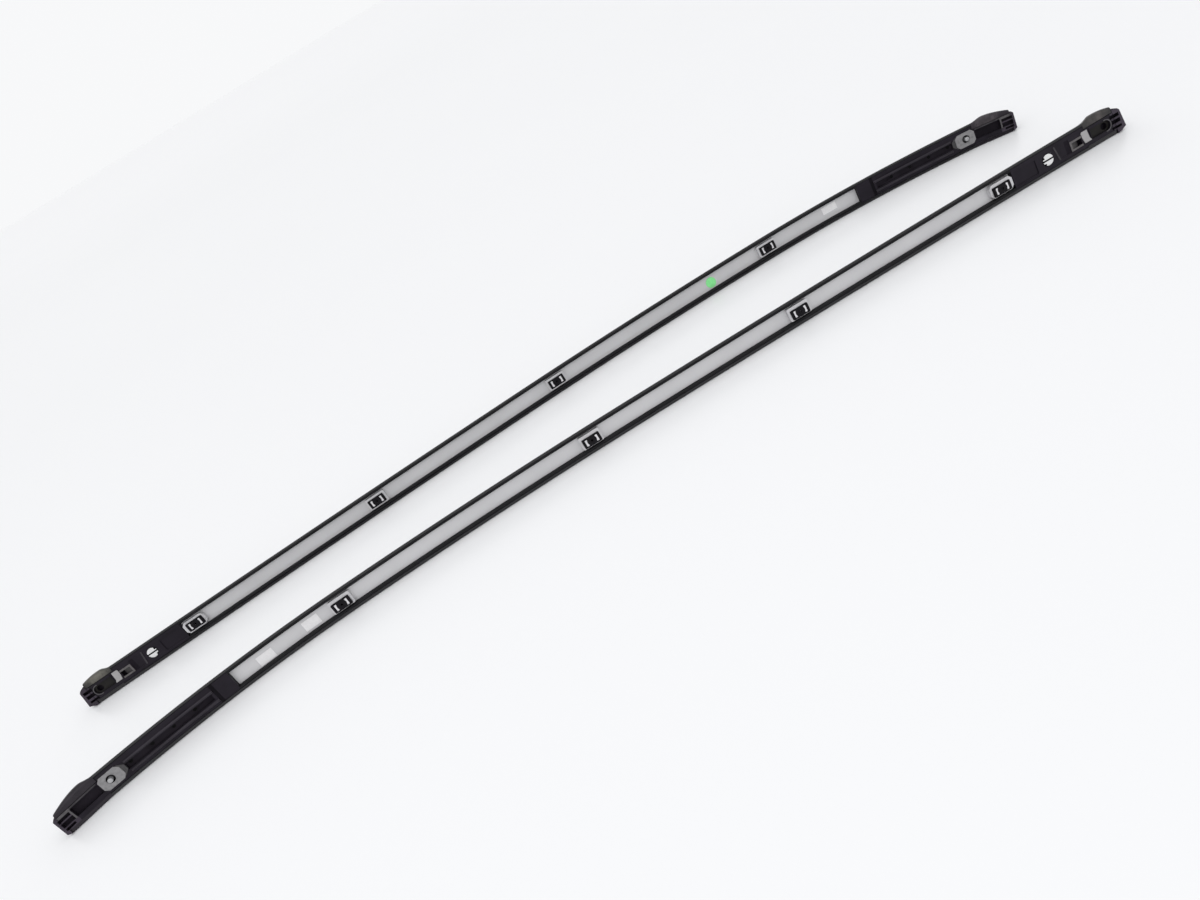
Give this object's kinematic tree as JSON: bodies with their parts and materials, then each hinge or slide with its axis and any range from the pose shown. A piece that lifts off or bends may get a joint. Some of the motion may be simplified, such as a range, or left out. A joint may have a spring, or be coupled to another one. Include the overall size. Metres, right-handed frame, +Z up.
{
  "type": "roof side rail pair",
  "caption": "Pair of black roof side rails, mirror images, bent to the roof line, lying with their undersides showing a silver strip, clips and end feet.",
  "frame": {"origin": "centre of the pair's bounding box, on the floor that both rails lie on", "axes": "+X along the rails to the right of the picture, where the right rail's front end points, +Y away from the viewer, +Z up"},
  "size_m": [1.9954, 0.4543, 0.0488],
  "materials": {
    "gloss_black_paint": "gloss black coating on aluminium",
    "cover_black": "satin to gloss black moulding",
    "foot_black": "fine-grained black moulding",
    "black_rubber": "matt black rubber",
    "silver_strip": "satin silver",
    "silver_seat": "satin silver",
    "black_clip": "satin black moulding",
    "white_nylon": "natural nylon",
    "black_screw": "black oxide",
    "zinc_steel": "dull zinc plate",
    "bright_steel": "bright zinc",
    "grey_tab": "dull grey sheet metal",
    "tan_frame": "tan-grey moulding",
    "sticker_white": "plain white sticker, slightly crumpled",
    "sticker_green": "bright green dot"
  },
  "bodies": {
    "root": {"right_rail_shell": "gloss_black_paint", "right_carrier_strip": "silver_strip", "right_outer_seal": "black_rubber", "right_inner_seal": "black_rubber", "right_clip_seats": "silver_seat", "right_clip_frames": "black_clip", "right_clip_wings": "white_nylon", "right_front_foot": "foot_black", "right_foot_screws": "black_screw", "right_front_plate": "zinc_steel", "right_front_stud": "bright_steel", "right_front_cover": "cover_black", "right_rear_foot": "foot_black", "right_rear_tab": "grey_tab", "right_window_frame": "tan_frame", "right_locating_plug": "white_nylon", "right_rear_cover": "cover_black", "left_rail_shell": "gloss_black_paint", "left_carrier_strip": "silver_strip", "left_outer_seal": "black_rubber", "left_inner_seal": "black_rubber", "left_clip_seats": "silver_seat", "left_clip_frames": "black_clip", "left_clip_wings": "white_nylon", "left_front_foot": "foot_black", "left_foot_screws": "black_screw", "left_front_plate": "zinc_steel", "left_front_stud": "bright_steel", "left_front_cover": "cover_black", "left_rear_foot": "foot_black", "left_rear_tab": "grey_tab", "left_window_frame": "tan_frame", "left_locating_plug": "white_nylon", "left_rear_cover": "cover_black", "right_label": "sticker_white", "right_green_dot": "sticker_green", "left_labels": "sticker_white"}
  },
  "joints": []
}
